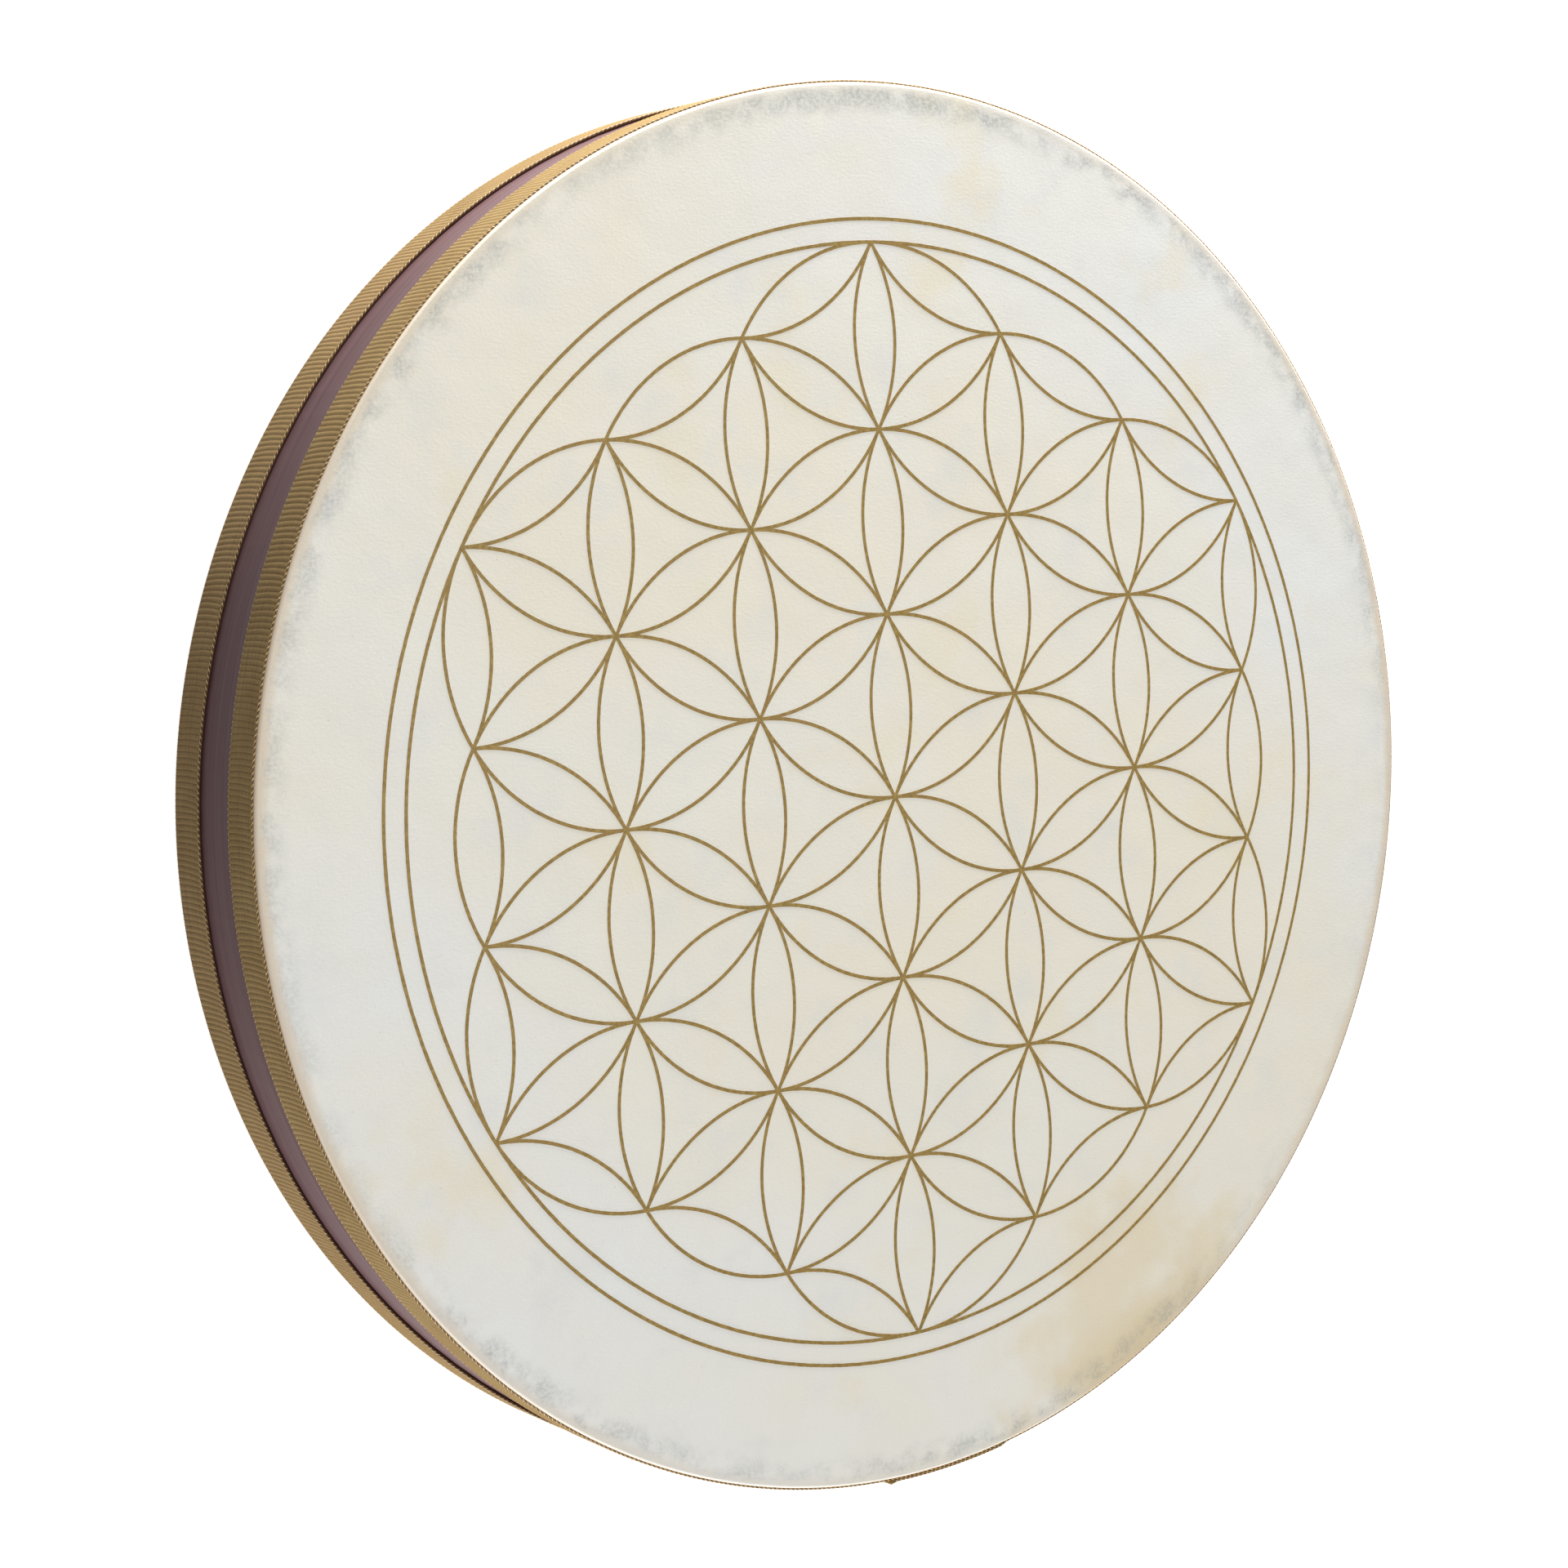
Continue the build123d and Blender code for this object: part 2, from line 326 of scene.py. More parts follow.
    streaks = noise(tree, scaled(tree, ring, (190.0, 190.0, 16.0)), 1.0, 2.0, 0.5)
    colour = tint(tree, fade(tree, streaks, 0.5, 0.8, 0.0, 0.16), colour, HIDE_GREY)
    specks = fade(tree, noise(tree, here, 700.0, 1.0), 0.74, 0.80, 0.0, 0.35)
    colour = tint(tree, specks, colour, HIDE_TAN)

    # On the fold it turns peach, and down the skirt it is painted dark brown as shade in the gap under the
    # braid's edge.
    from_middle = calc(tree, "ABSOLUTE", calc(tree, "SUBTRACT", parts[2], DEPTH / 2))
    face = DEPTH / 2
    # The fold's peach is partly the hide's own tint over the hoop and partly painted shade that dims the
    # side light's highlight on the fold.
    fold = fade(tree, from_middle, face - FOLD_R, face - 0.3 * MM, 0.6, 0.0)
    colour = tint(tree, fold, colour, HIDE_PEACH)
    skirt = fade(tree, from_middle, face - 4.5 * MM, face - 3.0 * MM, 1.0, 0.0)
    colour = tint(tree, skirt, colour, HIDE_GAP_SHADE)
    tree.links.new(colour, shader.inputs["Base Color"])

    fibres = noise(tree, scaled(tree, moved, (0.5, 1.0, 1.0)), 1150.0, 3.0, 0.6, 0.4)
    pebbles = add(tree, "TexVoronoi", {"feature": "SMOOTH_F1"}, Vector=moved, Scale=1100.0)
    grain = calc(tree, "MULTIPLY_ADD", pebbles.outputs["Distance"], 0.5, fibres)
    swell = bump(tree, shader, noise(tree, moved, 26.0, 2.0), 1.4 * MM, 0.3)
    bump(tree, shader, grain, 0.22 * MM, 0.24, swell)
    tree.links.new(fade(tree, fibres, 0.3, 0.7, 0.5, 0.68), shader.inputs["Roughness"])
    return material


def rub_by_angle(tree, turn, shift):
    """How worn the ring is round the drum, by angle as a share of a turn, with the shift added."""
    angle = calc(tree, "ARCTAN2", turn[1], turn[0])
    share = calc(tree, "FRACT", calc(tree, "MULTIPLY_ADD", angle, 0.5 / math.pi, 2.0 + shift))
    node = add(tree, "ValToRGB", None, Fac=share)
    ramp = node.color_ramp
    ramp.interpolation = "EASE"
    ramp.elements.remove(ramp.elements[1])
    for index, (degrees, amount) in enumerate(RUB_ROUND):
        stop = ramp.elements[0] if index == 0 else ramp.elements.new(degrees / 360)
        stop.position = degrees / 360
        stop.color = (amount, amount, amount, 1)
    return node.outputs["Color"]


def braid_material(name, gold):
    """Gold-brown ribbed weave with painted shade in the valleys between ribs, crossed by fine lengthwise
    threads.
    """
    material, tree, shader = new_material(name, Roughness=0.62, Sheen_Weight=0.03, Sheen_Roughness=0.4)
    shader.inputs["Specular IOR Level"].default_value = 0.04
    run = add(tree, "UVMap", {"uv_map": "strip"}).outputs["UV"]
    here = add(tree, "TexCoord").outputs["Object"]
    parts = add(tree, "SeparateXYZ", None, Vector=run).outputs
    rib = calc(tree, "PINGPONG", parts[0], 0.5)
    valley_shade = fade(tree, rib, 0.0, 0.2, 1.0, 0.0)
    column = calc(tree, "FLOOR", parts[0])
    offset = calc(tree, "MULTIPLY", column, math.pi)
    cross = calc(tree, "SINE", calc(tree, "MULTIPLY_ADD", parts[1], 6.6, offset))
    threads = fade(tree, cross, -1.0, 1.0)
    worn = noise(tree, here, 30.0, 3.0, 0.6)
    colour = tint(tree, fade(tree, worn, 0.35, 0.7), gold, BRAID_TAN)
    lines = noise(tree, scaled(tree, run, (0.03, 1.3, 0.0)), 1.0, 2.0, 0.6)
    colour = tint(tree, fade(tree, lines, 0.45, 0.7, 0.0, 0.35), colour, BRAID_DARK)
    colour = tint(tree, calc(tree, "MULTIPLY", threads, 0.2), colour, BRAID_LIGHT)
    # Painted shade in the valleys between ribs.
    colour = tint(tree, calc(tree, "MULTIPLY", valley_shade, 0.4), colour, BRAID_DARK)
    fuzz = noise(tree, here, 2600.0, 2.0)
    colour = tint(tree, fade(tree, fuzz, 0.35, 0.75, 0.0, 0.3), colour, BRAID_LIGHT)
    tree.links.new(colour, shader.inputs["Base Color"])
    bump(tree, shader, calc(tree, "MULTIPLY_ADD", fuzz, 0.5, threads), 0.09 * MM, 0.9)
    return material


def thread_material(name, pale, dark):
    """Fuzzy yarn of the braids' edge cord."""
    material, tree, shader = new_material(name, Roughness=0.5, Sheen_Weight=0.3, Sheen_Roughness=0.4)
    here = add(tree, "TexCoord").outputs["Object"]
    fuzz = noise(tree, here, 2200.0, 3.0, 0.6)
    tree.links.new(tint(tree, fade(tree, fuzz, 0.35, 0.7), pale, dark), shader.inputs["Base Color"])
    bump(tree, shader, fuzz, 0.06 * MM, 0.8)
    return material


def wood_material(name, pale, dark, streak, roughness, gloss):
    """Veneer whose grain runs round the hoop."""
    material, tree, shader = new_material(name, Roughness=roughness)
    shader.inputs["Specular IOR Level"].default_value = gloss
    here = add(tree, "TexCoord").outputs["Object"]
    along = noise(tree, scaled(tree, here, (4.0, 4.0, 420.0)), 1.0, 4.0, 0.6)
    fine = noise(tree, scaled(tree, here, (14.0, 14.0, 2600.0)), 1.0, 3.0, 0.65)
    cloudy = noise(tree, scaled(tree, here, (7.0, 7.0, 30.0)), 1.0, 2.0)
    colour = tint(tree, fade(tree, along, 0.32, 0.70), pale, dark)
    colour = tint(tree, fade(tree, cloudy, 0.35, 0.7, 0.0, 0.5), colour, streak)
    colour = tint(tree, fade(tree, fine, 0.50, 0.72, 0.0, 0.35), colour, dark)
    tree.links.new(colour, shader.inputs["Base Color"])
    bump(tree, shader, fine, 0.05 * MM, 0.5)
    rough = fade(tree, along, 0.3, 0.7, roughness - 0.06, roughness + 0.08)
    tree.links.new(rough, shader.inputs["Roughness"])
    return material


def ink_material():
    """Flat gold-brown ink, slightly mottled where it sank into the hide."""
    material, tree, shader = new_material("gold_ink", Roughness=0.5)
    here = add(tree, "TexCoord").outputs["Object"]
    mottle = noise(tree, here, 600.0, 3.0, 0.6)
    cloud = noise(tree, here, 45.0, 2.0)
    colour = tint(tree, fade(tree, mottle, 0.35, 0.7), INK_DARK, INK_LIGHT)
    colour = tint(tree, fade(tree, cloud, 0.4, 0.7, 0.0, 0.4), colour, INK_WARM)
    tree.links.new(colour, shader.inputs["Base Color"])
    bump(tree, shader, mottle, 0.04 * MM, 0.6)
    return material


def steel_material(name, roughness):
    """Bright steel with fine marks."""
    material, tree, shader = new_material(name, Metallic=1.0, Roughness=roughness)
    here = add(tree, "TexCoord").outputs["Object"]
    marks = noise(tree, here, 1500.0, 3.0, 0.6)
    tree.links.new(tint(tree, marks, STEEL_DARK, STEEL_LIGHT), shader.inputs["Base Color"])
    rough = fade(tree, marks, 0.3, 0.7, roughness - 0.08, roughness + 0.1)
    tree.links.new(rough, shader.inputs["Roughness"])
    return material


HIDE_COOL = linear(232, 232, 228)
HIDE_WARM = linear(234, 228, 211)
HIDE_CREAM = linear(233, 223, 196)
HIDE_GREY = linear(222, 222, 219)
HIDE_AMBER = linear(228, 213, 180)
HIDE_TAN = linear(208, 184, 130)
HIDE_PEACH = linear(212, 190, 160)
HIDE_RUB = linear(138, 145, 146)
# Painted shade for the gap under a braid's edge, laid on the hide's skirt.
HIDE_GAP_SHADE = linear(84, 54, 32)
FRONT_STAIN_AT = (0.100, -0.275, 0.0)
REAR_STAIN_AT = (-0.190, 0.150, 0.0)
# Each hide's place in the noise, which also turns its worn ring, and the seed of its puckers.
FRONT_SHIFT, FRONT_PUCKERS = 0.37, 5
REAR_SHIFT, REAR_PUCKERS = 2.9, 8
# Degrees round the rim, and how worn the ring is there. They were meant to count from +X. A known
# fault: the shift is added as turns, so the front's ring lies 133 degrees from its meant place.
RUB_ROUND = ((0, 0.95), (16, 0.7), (30, 0.45), (48, 0.9), (68, 0.85), (84, 0.35), (100, 0.15), (128, 0.2),
             (150, 0.75), (172, 0.95), (184, 0.85), (198, 0.95), (232, 0.95), (250, 0.55), (270, 0.85),
             (292, 0.7), (310, 0.6), (338, 0.3), (352, 0.7), (360, 0.95))
BRAID_OLIVE = linear(163, 135, 86)
# The rear braid is the same weave as the front; its slightly browner colour is painted warm reflection.
BRAID_WARM_REFLECTED = linear(161, 130, 86)
BRAID_TAN = linear(149, 119, 72)
BRAID_LIGHT = linear(198, 170, 118)
BRAID_DARK = linear(76, 56, 29)
CORD_GOLD = linear(222, 186, 120)
CORD_PALE = linear(240, 214, 160)
# The core yarn's dark brown is partly the real ground thread and partly painted shade under the gold
# windings.
CORD_BROWN = linear(98, 58, 28)
CORD_BLACK = linear(66, 36, 16)
STAIN_PALE = linear(115, 87, 90)
STAIN_DARK = linear(104, 77, 81)
STAIN_STREAK = linear(111, 83, 81)
VENEER = linear(206, 174, 132)
VENEER_DARK = linear(170, 134, 92)
VENEER_STREAK = linear(190, 156, 110)
INK_DARK = linear(136, 110, 50)
INK_LIGHT = linear(166, 138, 72)
INK_WARM = linear(154, 122, 66)
STEEL_DARK = linear(168, 168, 172)
STEEL_LIGHT = linear(214, 214, 218)


# ---------------------------------------------------------------- heads

def head_profile():
    """Half the section of the printed hide, from mid-face round the rim to mid-underside."""
    flat = HEAD_R - FOLD_R
    centre_z = DEPTH - FOLD_R
    bend = np.radians(np.linspace(90, 0, FOLD_STEPS))
    rings = np.concatenate([np.linspace(*COARSE_RINGS), np.linspace(FINE_RINGS_FROM, flat, FINE_RINGS)])
    top = [(0.0, DEPTH)] + [(r, DEPTH) for r in rings]
    fold = [(flat + FOLD_R * math.cos(a), centre_z + FOLD_R * math.sin(a)) for a in bend[1:]]
    side = [(HEAD_R, z) for z in np.linspace(centre_z, HEM_Z, SIDE_STEPS)[1:]]
    tight = FOLD_R - HIDE_T
    back = [(HEAD_R - HIDE_T, z) for z in np.linspace(HEM_Z, centre_z, SIDE_STEPS)]
    under = [(flat + tight * math.cos(a), centre_z + tight * math.sin(a)) for a in bend[::-1][1:]]
    bottom = [(r, DEPTH - HIDE_T) for r in rings[::-6]] + [(0.0, DEPTH - HIDE_T)]
    return top + fold + side + back + under + bottom


def puckers(angle, seed):
    """How far the hide dips round the rim, as a wave that closes on itself."""
    chance = np.random.default_rng(seed)
    wave = sum(chance.uniform(0.4, 1) * np.cos(k * angle + chance.uniform(0, PUCKER_PHASE)) / math.sqrt(k)
               for k in chance.integers(*PUCKER_RATES, PUCKER_WAVES))
    return wave * PUCKER / np.abs(wave).max()


def turned_faces(rows, segments, last):
    """Faces of a turned shape: a fan at each end of the axis and quads between its rows."""
    faces = []
    for j in range(segments):
        k = (j + 1) % segments
        faces.append((0, 1 + j, 1 + k))
        faces.append((last, 1 + (rows - 1) * segments + k, 1 + (rows - 1) * segments + j))
        for i in range(rows - 1):
            here, there = 1 + i * segments, 1 + (i + 1) * segments
            faces.append((here + j, there + j, there + k, here + k))
    return faces


def head_piece(name, node, material, flip, seed):
    """A hide turned from its section, gently puckered where it is drawn over the hoop."""
    profile = head_profile()
    angle = np.linspace(0, 2 * math.pi, HEAD_SEGMENTS, endpoint=False)
    pucker = puckers(angle, seed)
    points = [(0.0, 0.0, profile[0][1])]
    for r, z in profile[1:-1]:
        near = smooth((r - (HEAD_R - PUCKER_IN)) / PUCKER_RUN)
        drop = pucker * near
        points += np.stack([r * np.cos(angle), r * np.sin(angle), z - np.abs(drop)], -1).tolist()
    points.append((0.0, 0.0, profile[-1][1]))
    faces = turned_faces(len(profile) - 2, HEAD_SEGMENTS, len(points) - 1)
    points = np.array(points)
    if flip:
        points[:, 2] = DEPTH - points[:, 2]
        faces = [face[::-1] for face in faces]
    piece = mesh_piece(name, points, faces)
    piece.data.materials.append(material)
    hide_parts(node)
    return piece


# ---------------------------------------------------------------- braids

def strip_radius(turned):
    """How far the strip's inner face stands off the skirt, by the angle turned since its buried end."""
    over = smooth((turned - (360 - LAP_RAMP)) / LAP_RAMP) * (BRAID_T + LAP_GAP)
    tail = 360 + LAP_TAIL - TAIL_FLARE
    return over + smooth((turned - tail) / (2 * TAIL_FLARE)) * 2 * TAIL_LIFT


def braid_section():
    """The strip's outline across its width: place across, height as a share of thickness, rib share."""
    outside = [(0.0, 0.3, 0.0), (0.006, 0.75, 0.4), (0.025, 1.0, 0.9)]
    outside += [(x, 1.0, 1.0) for x in np.linspace(0.06, 0.94, 11)]
    outside += [(0.975, 1.0, 0.9), (0.994, 0.75, 0.4), (1.0, 0.3, 0.0)]
    return outside + [(0.99, 0.0, 0.0), (0.5, 0.0, 0.0), (0.01, 0.0, 0.0)]


def dents(turned, across, turn):
    """Where the staples' crowns under the braid pull it in, from 0 to 1."""
    angle = LAP_START + turn - turned
    pitch = 360 / STAPLE_COUNT
    off = np.radians((angle - STAPLE_START + pitch / 2) % pitch - pitch / 2) * HEAD_R
    row = (across * BRAID_W - (STAPLE_DOWN - BRAID_EDGE)) / DENT_ROW
    return np.exp(-((off / DENT_HALF) ** 4)) * math.exp(-(row**2))


def braid_piece(name, node, material, flip, turn):
    """One woven strip wound once round the rim, with its ribs, its staples' dents and its lapped tail."""
    count = int((360 + LAP_TAIL) / 360 * RIBS * ROWS_PER_RIB) + 1
    turned = np.linspace(0, 360 + LAP_TAIL, count)
    ribs = turned / 360 * RIBS
    rib = 1 - np.abs(np.sin(math.pi * ribs)) ** RIB_SHARPNESS
    stops = np.arange(0, RIBS + SPARE_RIBS, RIBS_PER_WAVER)
    wavers = np.random.default_rng(WAVER_SEED).normal(0, RIB_WAVER, len(stops))
    uneven = np.interp(ribs, stops, wavers)
    base = HEAD_R + strip_radius(turned)
    # A known fault: the rear's dents lie 5.7 degrees from its staples, as its turn is taken backwards.
    dent_turn = -turn if flip else turn
    columns = []
    for across, height, share in braid_section():
        bow = (RIB_BOW * 4 * across * (1 - across) + uneven * (2 * across - 1)) / RIBS * 360
        angle = np.radians(LAP_START + turn - turned - bow)
        low = RIB_H * rib * share + DENT * dents(turned, across, dent_turn) * share
        radius = base + BRAID_T * height - low
        z = DEPTH - BRAID_EDGE - BRAID_W * across
        columns.append(np.stack([radius * np.cos(angle), radius * np.sin(angle), z + 0 * radius], -1))
    points = np.stack(columns, 1).reshape(-1, 3)
    width = len(columns)
    faces = tube_faces(count, width)
    if flip:
        points[:, 2] = DEPTH - points[:, 2]
    else:
        faces = [face[::-1] for face in faces]
    piece = mesh_piece(name, points, faces)
    uv = piece.data.uv_layers.new(name="strip")
    corners = np.zeros(len(piece.data.loops), int)
    piece.data.loops.foreach_get("vertex_index", corners)
    across_mm = np.array([across for across, _, _ in braid_section()]) * BRAID_W / MM
    values = np.stack([ribs[corners // width], across_mm[corners % width]], -1)
    uv.data.foreach_set("uv", values.ravel())
    piece.data.materials.append(material)
    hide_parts(node)
    return piece


def edge_yarn(name, material, flip, turn, far, yarn_r, twist_r):
    """A yarn along one edge of a braid, straight or wound round the edge once a rib."""
    per_rib, sides = (YARN_STEPS, 6) if twist_r else (1, 8)
    count = int((360 + LAP_TAIL) / 360 * RIBS * per_rib) + 1
    turned = np.linspace(YARN_END, 360 - YARN_END + LAP_TAIL, count)
    twist = turned / 360 * RIBS * 2 * math.pi
    side = np.linspace(0, 2 * math.pi, sides, endpoint=False)
    out = (twist_r * np.cos(twist))[:, None] + yarn_r * np.cos(side)
    along = (twist_r * np.sin(twist))[:, None] + yarn_r * np.sin(side)
    angle = np.radians(LAP_START + turn - turned)[:, None]
    radius = (HEAD_R + strip_radius(turned) + BRAID_T / 2)[:, None] + out
    edge = DEPTH - BRAID_EDGE - (BRAID_W - EDGE_IN if far else EDGE_IN)
    z = edge + along
    points = np.stack([radius * np.cos(angle), radius * np.sin(angle), z], -1).reshape(-1, 3)
    faces = tube_faces(count, sides)
    if flip:
        points[:, 2] = DEPTH - points[:, 2]
        faces = [face[::-1] for face in faces]
    piece = mesh_piece(name, points, faces)
    piece.data.materials.append(material)
    return piece


# ---------------------------------------------------------------- print

def arc(centre, start, end):
    """Points on the shorter arc round centre, from start up to but not at end."""
    first, last = np.array(start) - centre, np.array(end) - centre
    a, b = math.atan2(first[1], first[0]), math.atan2(last[1], last[0])
    b = a + (b - a + math.pi) % (2 * math.pi) - math.pi
    angles = np.linspace(a, b, max(int(abs(b - a) / ARC_STEP), 2) + 1)[:-1]
    radius = np.linalg.norm(first)
    return np.asarray(centre) + radius * np.stack([np.cos(angles), np.sin(angles)], -1)


def unit(vector):
    """The same direction, one long."""
    return vector / np.linalg.norm(vector)


def place(i, j):
    """Where a point of the rosette's grid lies; the grid's second axis points along +Y."""
    return PETAL_R * np.array([i * math.sqrt(0.75), j + i / 2])


def petal_cell(start, end):
    """The bare hide inside the petal between two neighbouring points."""
    middle, along = (start + end) / 2, unit(end - start)
    across = np.array([-along[1], along[0]]) * PETAL_R * math.sqrt(0.75)
    reach = math.sqrt((PETAL_R - LINE_W / 2) ** 2 - 0.75 * PETAL_R**2)
    low, high = middle - along * reach, middle + along * reach
    return np.concatenate([arc(middle + across, low, high), arc(middle - across, high, low)])


def triangle_cell(corners):
    """The bare hide between the three petals round a grid triangle."""
    centre = sum(corners) / 3
    reach = math.sqrt((PETAL_R + LINE_W / 2) ** 2 - PETAL_R**2)
    tips = [corner + unit(centre - corner) * reach for corner in corners]
    runs = [arc(corners[k - 2] + corners[k - 1] - corners[k], tips[k - 2], tips[k - 1]) for k in range(3)]
    return np.concatenate(runs)


def direction(angle):
    """The direction at this angle (degrees) in the XY plane."""
    return np.array([math.cos(math.radians(angle)), math.sin(math.radians(angle))])


def segment_cell(turn):
    """The bare hide between the inner ring and the outer petals of one side of the hexagon."""
    ring_r, arc_r = ROSETTE_STEPS * PETAL_R - LINE_W / 2, PETAL_R + LINE_W / 2
    far = (ROSETTE_STEPS - 1) * PETAL_R
    along = (ring_r**2 - arc_r**2 + far**2) / (2 * far)
    off = math.sqrt(ring_r**2 - along**2)
    first = np.array([off, along])
    last = direction(30) * along + direction(120) * off
    centres = [place(k, ROSETTE_STEPS - 1 - k) for k in range(ROSETTE_STEPS)]
    rise = math.sqrt(arc_r**2 - PETAL_R**2 / 4)
    joints = [(a + b) / 2 + direction(60) * rise for a, b in zip(centres, centres[1:])]
    stops = [first] + joints + [last]
    runs = [arc(centre, a, b) for centre, a, b in zip(centres, stops, stops[1:])]
    points = np.concatenate(runs + [arc(np.zeros(2), last, first)])
    return points @ np.array([direction(turn), direction(turn + 90)])


def circle(radius):
    """Points round a circle about the print's middle."""
    angles = np.linspace(0, 2 * math.pi, CIRCLE_POINTS, endpoint=False)
    return radius * np.stack([np.cos(angles), np.sin(angles)], -1)


def rosette_outlines():
    """The outlines of the ink: the rosette's rim and the bare cells inside it, then the frame ring."""
    steps = range(-ROSETTE_STEPS, ROSETTE_STEPS + 1)
    points = {(i, j) for i in steps for j in steps if abs(i + j) <= ROSETTE_STEPS}
    outlines = [circle(ROSETTE_STEPS * PETAL_R + LINE_W / 2)] + [segment_cell(60 * k) for k in range(6)]
    for i, j in sorted(points):
        for di, dj in ((1, 0), (0, 1), (-1, 1)):
            if (i + di, j + dj) in points:
                outlines.append(petal_cell(place(i, j), place(i + di, j + dj)))
        for (ai, aj), (bi, bj) in (((1, 0), (0, 1)), ((0, 1), (-1, 1))):
            if (i + ai, j + aj) in points and (i + bi, j + bj) in points:
                outlines.append(triangle_cell([place(i, j), place(i + ai, j + aj), place(i + bi, j + bj)]))
    return outlines + [circle(FRAME_RING_R + LINE_W / 2), circle(FRAME_RING_R - LINE_W / 2)]


def print_piece(material):
    """The rosette as a thin layer of ink, its edges a little uneven as in real printing."""
    curve = bpy.data.curves.new("rosette", "CURVE")
    curve.dimensions, curve.fill_mode, curve.extrude = "2D", "BOTH", INK_T / 2
    for outline in rosette_outlines():
        # Two crossed ripples a few millimetres long, bent so that they do not repeat evenly.
        wobble = (np.sin(outline[:, 0] * 1900 + 3 * np.sin(outline[:, 1] * 700))
                  * np.sin(outline[:, 1] * 1700 + 2 * np.sin(outline[:, 0] * 900)))
        outline = outline * (1 + INK_WOBBLE * wobble[:, None] / np.linalg.norm(outline, axis=1)[:, None])
        spline = curve.splines.new("POLY")
        spline.points.add(len(outline) - 1)
        depth_and_weight = np.tile((0.0, 1.0), (len(outline), 1))
        spline.points.foreach_set("co", np.hstack([outline + PRINT_AT, depth_and_weight]).ravel())
        spline.use_cyclic_u = True
    shape = bpy.data.objects.new("rosette_curve", curve)
    bpy.context.scene.collection.objects.link(shape)
    bpy.context.view_layer.update()
    mesh = bpy.data.meshes.new_from_object(shape.evaluated_get(bpy.context.evaluated_depsgraph_get()))
    bpy.data.objects.remove(shape)
    mesh.transform(Matrix.Translation((0, 0, DEPTH + INK_T / 2)))
    mesh.materials.clear()
    mesh.materials.append(material)
    piece = bpy.data.objects.new("rosette_ink", mesh)
    bpy.context.scene.collection.objects.link(piece)
    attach(piece, "drum")
    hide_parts("rosette_print")
    return piece


# ---------------------------------------------------------------- stage

def floor():
    """The white floor that the drum lies on."""
    mesh = bpy.data.meshes.new("floor")
    corners = [(x * FLOOR_HALF, y * FLOOR_HALF, 0) for x, y in ((-1, -1), (1, -1), (1, 1), (-1, 1))]
    mesh.from_pydata(corners, [], [(0, 1, 2, 3)])
    plane = bpy.data.objects.new("floor", mesh)
    bpy.context.scene.collection.objects.link(plane)
    material, _, shader = new_material("floor_white", Base_Color=FLOOR_GREY, Roughness=1.0,
                                       Emission_Color=(1, 1, 1, 1), Emission_Strength=FLOOR_GLOW)
    shader.inputs["Specular IOR Level"].default_value = 0.0
    mesh.materials.append(material)
    plane.visible_diffuse = False


def area_light(name, at, aim, size, power):
    """A white rectangular light that faces a point."""
    light = bpy.data.lights.new(name, "AREA")
    light.shape, light.size, light.size_y = "RECTANGLE", *size
    light.energy = power
    lamp = bpy.data.objects.new(name, light)
    lamp.location = at
    lamp.rotation_euler = (Vector(aim) - Vector(at)).to_track_quat("-Z", "Y").to_euler()
    bpy.context.scene.collection.objects.link(lamp)


def stage():
    """The floor, an even white world and the lights."""
    floor()
    world = bpy.data.worlds.new("studio")
    world.use_nodes = True
    background = world.node_tree.nodes["Background"]
    background.inputs["Color"].default_value = (1, 1, 1, 1)
    background.inputs["Strength"].default_value = WORLD_GLOW
    bpy.context.scene.world = world
    for light in LIGHTS:
        area_light(*light)


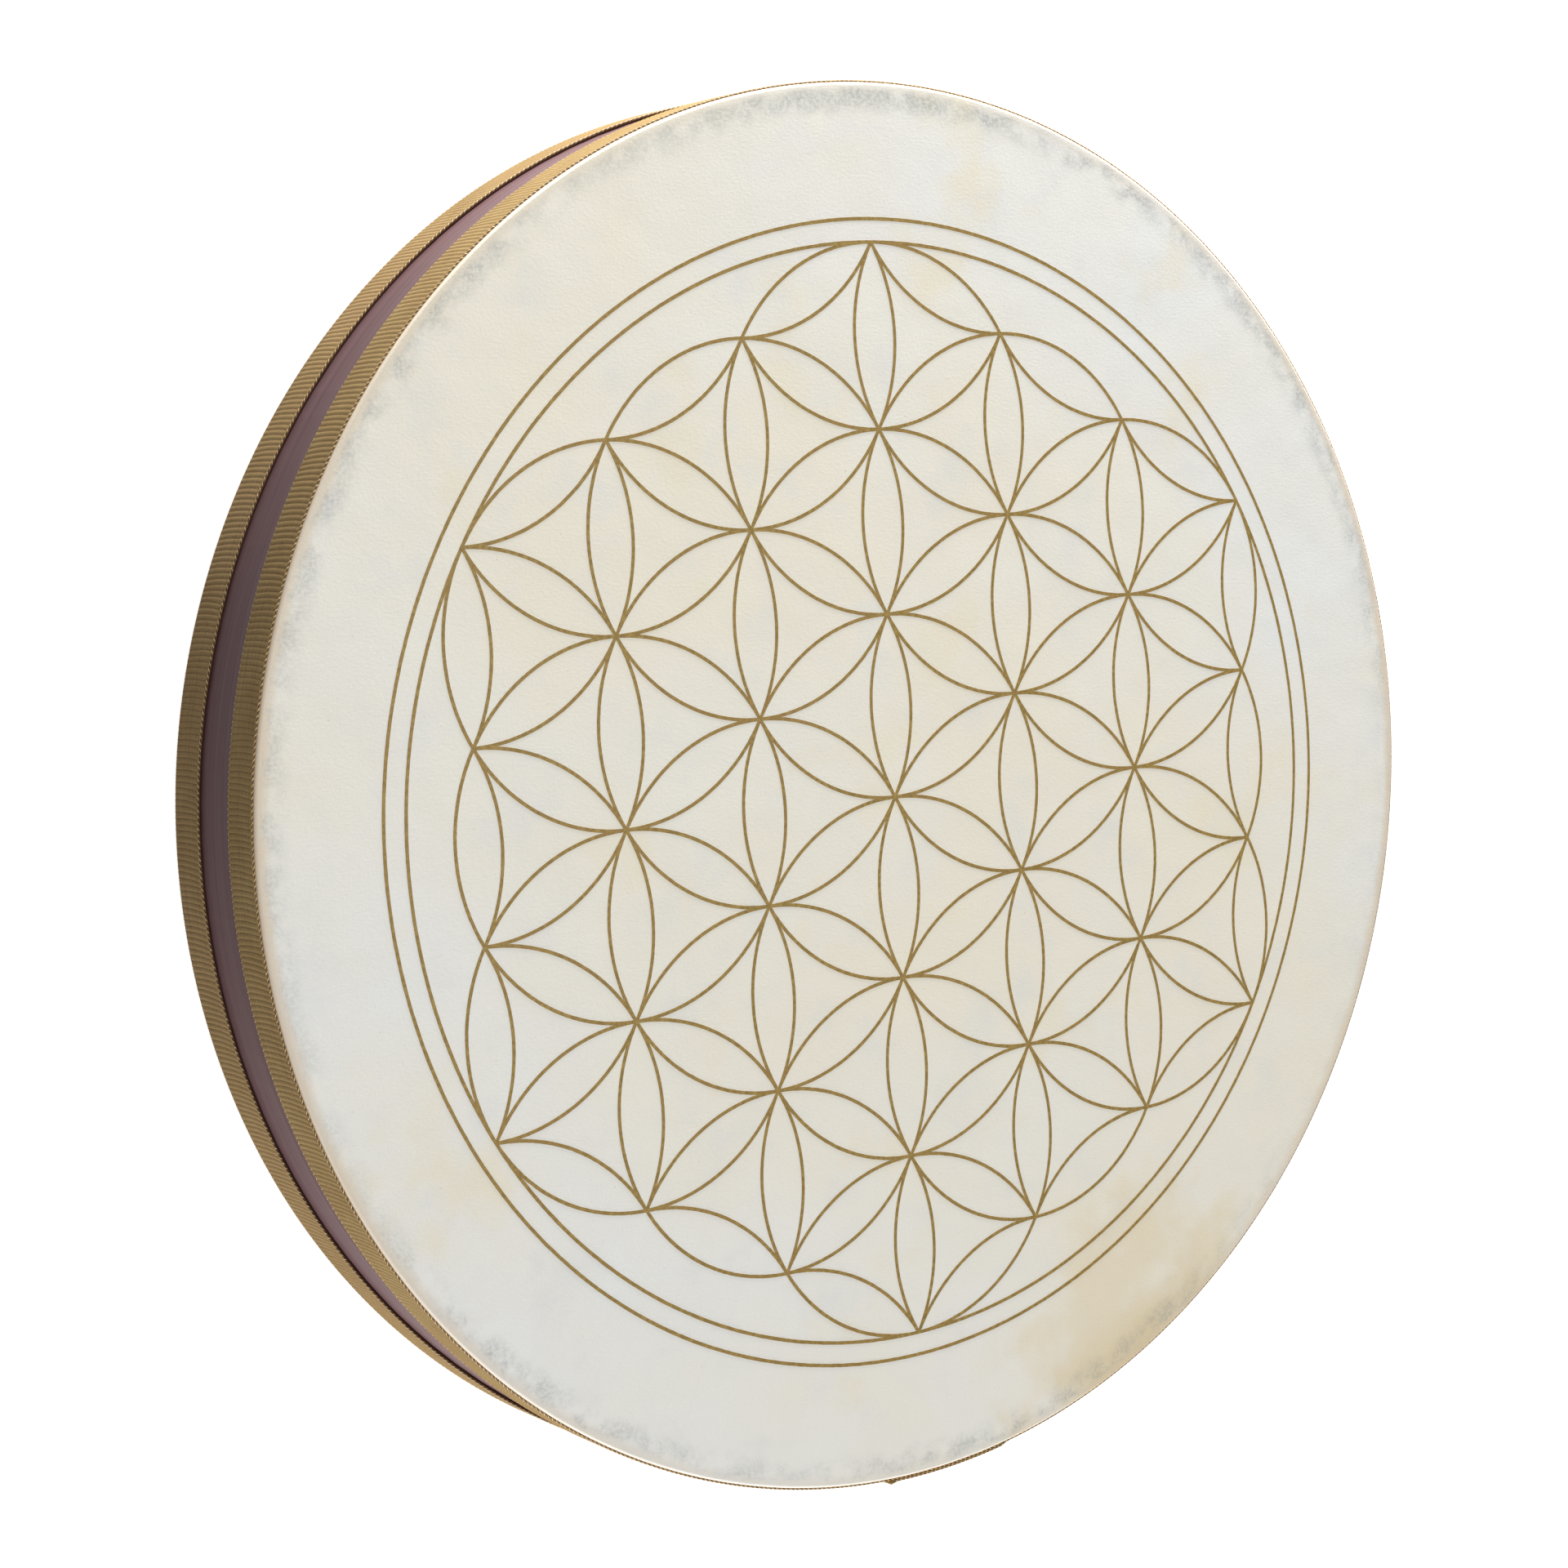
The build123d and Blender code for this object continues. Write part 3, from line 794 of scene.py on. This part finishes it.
def camera():
    """The camera, aimed at a point and rolled about its own line of sight."""
    data = bpy.data.cameras.new("camera")
    data.lens, data.sensor_width = CAMERA_LENS, SENSOR
    seen = bpy.data.objects.new("camera", data)
    away = (Vector(CAMERA_AT) - Vector(CAMERA_AIM)).normalized()
    right = Vector((0, 1, 0)).cross(away).normalized()
    up = away.cross(right)
    turn = Matrix((right, up, away)).transposed() @ Matrix.Rotation(math.radians(CAMERA_ROLL), 3, "Z")
    seen.matrix_world = Matrix.Translation(CAMERA_AT) @ turn.to_4x4()
    bpy.context.scene.collection.objects.link(seen)
    bpy.context.scene.camera = seen


def paint(node, material):
    """Give a carried-over CAD node its finish."""
    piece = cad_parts[node]
    piece.data.materials.clear()
    piece.data.materials.append(material)


camera()
stage()
bpy.context.scene.view_settings.view_transform = "Standard"

front_hide = hide_material("front_hide", FRONT_SHIFT, FRONT_STAIN_AT)
rear_hide = hide_material("rear_hide", REAR_SHIFT, REAR_STAIN_AT)
hides = {
    "front": head_piece("front_hide_head", "front_head", front_hide, False, FRONT_PUCKERS),
    "rear": head_piece("rear_hide_head", "rear_head", rear_hide, True, REAR_PUCKERS),
}
front_cloth = braid_material("front_braid", BRAID_OLIVE)
rear_cloth = braid_material("rear_braid", BRAID_WARM_REFLECTED)
braids = {
    "front": braid_piece("front_woven_braid", "front_braid", front_cloth, False, 0.0),
    "rear": braid_piece("rear_woven_braid", "rear_braid", rear_cloth, True, REAR_LAP_TURN),
}
gold_yarn = thread_material("gold_yarn", CORD_PALE, CORD_GOLD)
brown_yarn_and_shade = thread_material("brown_yarn_and_shade", CORD_BROWN, CORD_BLACK)
for rim, flip, turn in (("front", False, 0.0), ("rear", True, REAR_LAP_TURN)):
    for edge, far in (("near", False), ("far", True)):
        edge_yarn(f"{rim}_{edge}_core_yarn", brown_yarn_and_shade, flip, turn, far, CORE_R, 0.0)
        edge_yarn(f"{rim}_{edge}_gold_yarn", gold_yarn, flip, turn, far, YARN_R, YARN_OUT)
print_piece(ink_material())

paint("outer_ply", wood_material("stained_wood", STAIN_PALE, STAIN_DARK, STAIN_STREAK, 0.42, 0.05))
paint("core_ply", wood_material("core_wood", VENEER_STREAK, VENEER_DARK, VENEER, 0.6, 0.4))
paint("inner_ply", wood_material("bare_wood", VENEER, VENEER_DARK, VENEER_STREAK, 0.55, 0.4))
wire = steel_material("staple_wire", 0.35)
for node in ("front_staples", "rear_staples"):
    paint(node, wire)
ball_steel = steel_material("ball_steel", 0.18)
for node in ("hub_balls", "inner_balls", "outer_balls", "rim_balls"):
    paint(node, ball_steel)

bpy.context.view_layer.update()
